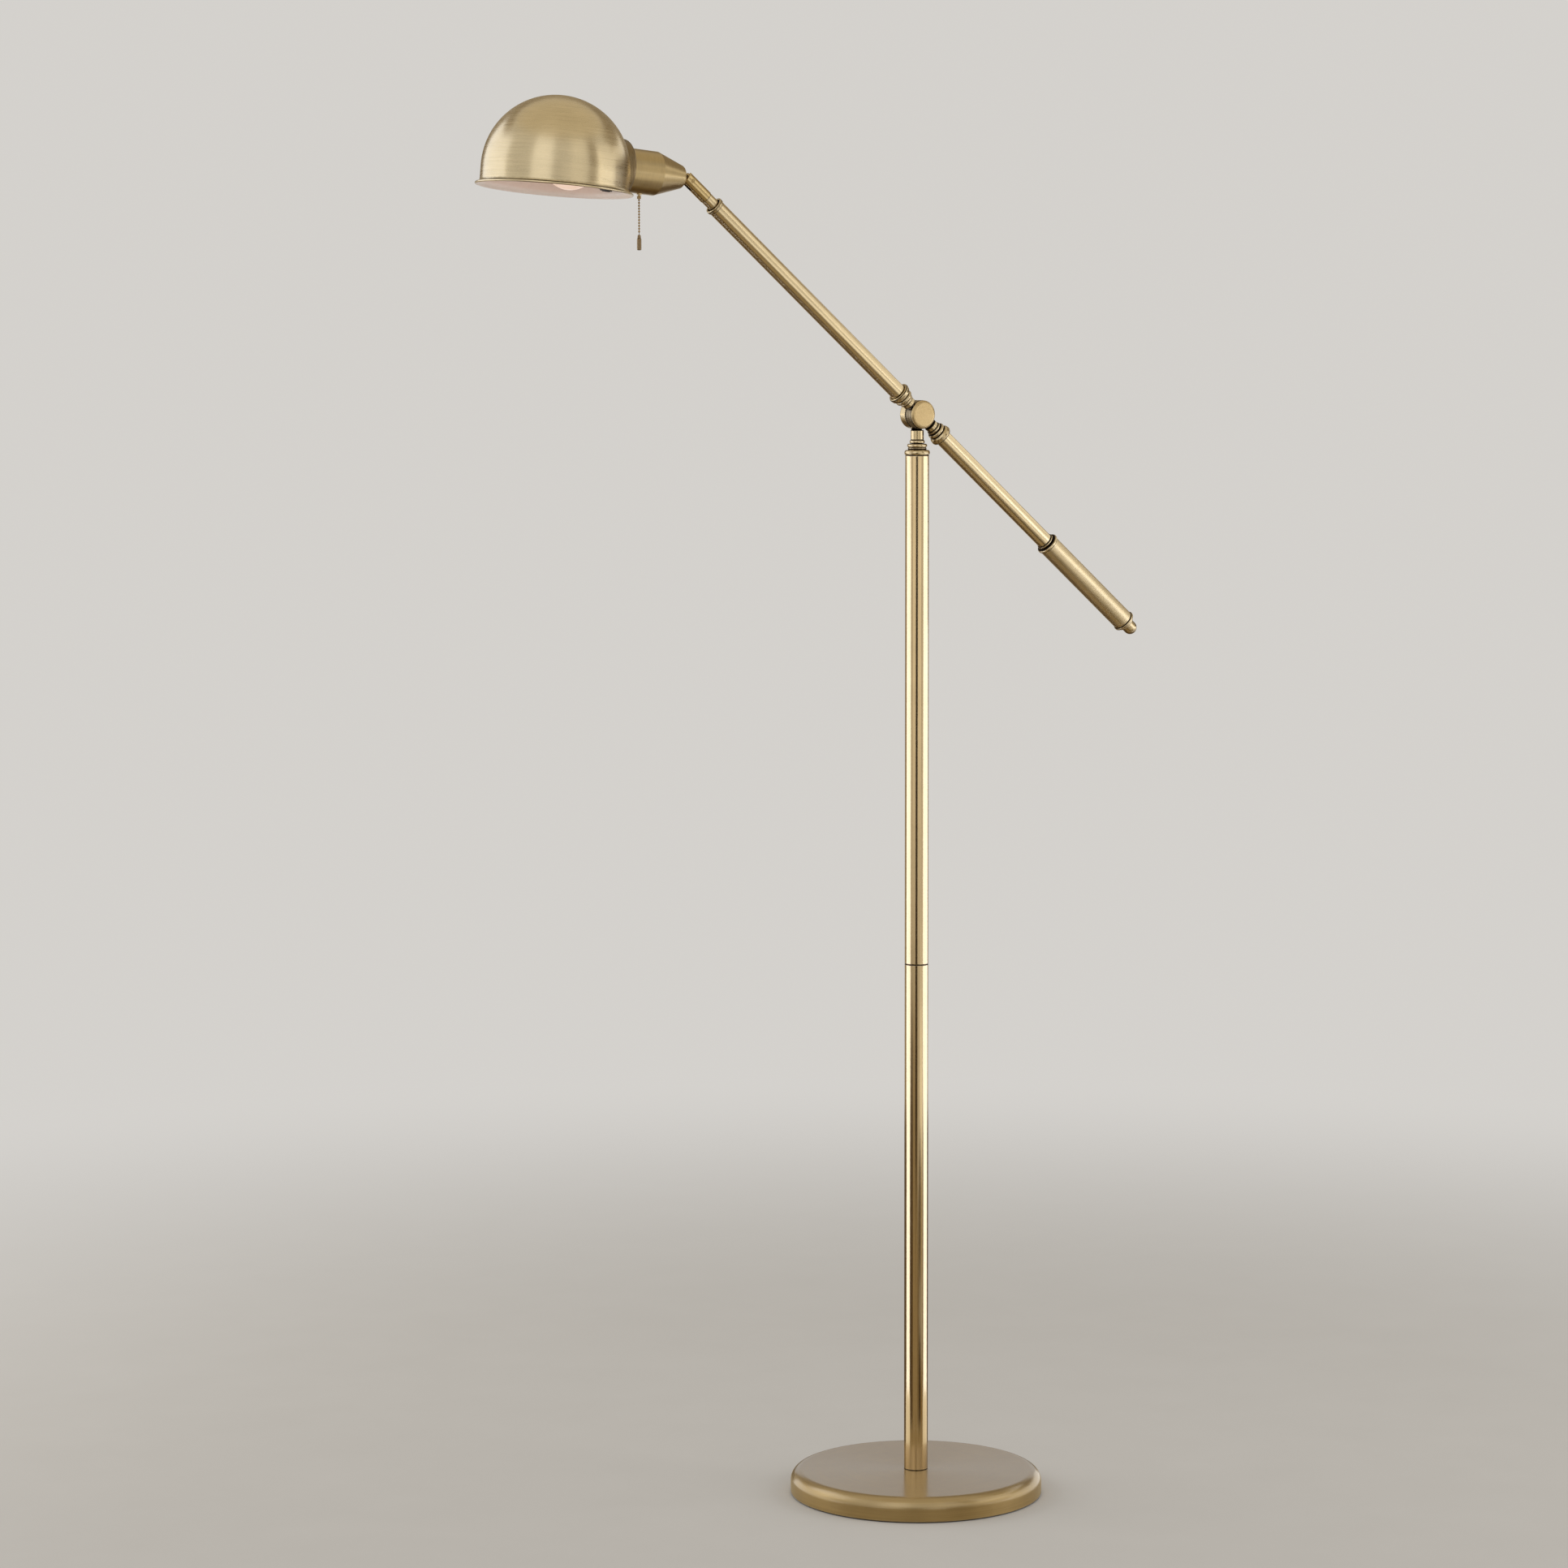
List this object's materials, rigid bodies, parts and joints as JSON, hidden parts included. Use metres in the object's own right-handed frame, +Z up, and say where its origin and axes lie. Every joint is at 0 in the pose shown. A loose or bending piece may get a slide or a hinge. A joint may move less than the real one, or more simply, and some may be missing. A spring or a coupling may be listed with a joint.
{
  "type": "adjustable arm floor lamp",
  "caption": "Antique-brass floor lamp: a weighted round base and straight pole carry a counterweighted arm that tilts in a knuckle and holds a swivelling domed shade with a pull chain.",
  "frame": {"origin": "on the floor, under the pole's axis", "axes": "+Z up along the pole, -X towards the shade, -Y towards the knuckle's round cap"},
  "size_m": [0.756, 0.2555, 1.3927],
  "materials": {
    "brushed_brass": "brushed antique brass",
    "polished_brass": "satin antique brass, lacquered",
    "steel": "plain steel",
    "iron": "rough casting",
    "felt": "dark felt",
    "black_plastic": "moulded black",
    "fibre": "dark fibre",
    "bulb_glass": "frosted"
  },
  "bodies": {
    "stand": {"base_pad": "felt", "base_weight": "iron", "base_cover": "brushed_brass", "base_washer": "steel", "base_nut": "steel", "base_nipple": "steel", "cord_bushing": "black_plastic", "pole_foot_plug": "polished_brass", "pole_lower_tube": "polished_brass", "pole_coupler": "polished_brass", "pole_upper_tube": "polished_brass", "pole_collar": "polished_brass"},
    "stem": {"neck_stem": "polished_brass", "spindle_washer": "steel", "spindle_nut": "steel", "knuckle_rear": "polished_brass", "friction_washer": "fibre", "pivot_bolt": "steel", "spring_washer": "steel"},
    "arm": {"knuckle_front": "polished_brass", "pivot_cap": "polished_brass", "upper_arm_collar": "polished_brass", "upper_arm_tube": "polished_brass", "arm_end_ferrule": "polished_brass", "swivel_base": "polished_brass", "lower_arm_collar": "polished_brass", "lower_arm_tube": "polished_brass", "counterweight_collar": "polished_brass", "counterweight_sleeve": "polished_brass", "counterweight_slug": "steel", "counterweight_end_cap": "polished_brass", "counterweight_finial": "polished_brass"},
    "head_swivel": {"swivel_fork": "polished_brass", "swivel_retainer": "steel", "hinge_pin": "steel"},
    "head": {"hinge_tongue": "polished_brass", "tongue_nut": "steel", "socket_cup": "brushed_brass", "shade_seat": "brushed_brass", "shade": "brushed_brass", "saddle_washer": "steel", "shade_ring_nut": "black_plastic", "lampholder_body": "black_plastic", "lampholder_shell": "steel", "lampholder_contact": "steel", "bulb_cap": "steel", "bulb_glass": "bulb_glass", "pull_switch_body": "black_plastic", "chain_guide": "polished_brass"},
    "pull": {"pull_shackle": "polished_brass"},
    "chain": {"pull_chain": "polished_brass", "chain_bell": "polished_brass"}
  },
  "joints": [
    {"name": "stem_swivel", "type": "hinge", "parent": "stand", "child": "stem", "pos_m": [0, 0, 1.061], "axis": [0, 0, 1], "range_deg": [-170, 170]},
    {"name": "arm_tilt", "type": "hinge", "parent": "stem", "child": "arm", "pos_m": [0, 0, 1.09], "axis": [0, 1, 0], "range_deg": [-85, 5]},
    {"name": "head_swivel", "type": "hinge", "parent": "arm", "child": "head_swivel", "pos_m": [-0.2656, -0.0047, 1.31485], "axis": [-0.7632, 0, 0.6461], "range_deg": [-170, 170]},
    {"name": "head_tilt", "type": "hinge", "parent": "head_swivel", "child": "head", "pos_m": [-0.2656, -0.0047, 1.31485], "axis": [0, 1, 0], "range_deg": [-40, 105]},
    {"name": "switch_pull", "type": "slide", "parent": "head", "child": "pull", "axis": [-0.0958, 0, -0.9954], "range_m": [0, 0.007], "stiffness_N_per_m": 300, "springref_m": -0.003},
    {"name": "chain_swing", "type": "hinge", "parent": "pull", "child": "chain", "pos_m": [-0.32201, -0.0047, 1.29934], "axis": [0, 1, 0], "range_deg": [-60, 45]}
  ]
}
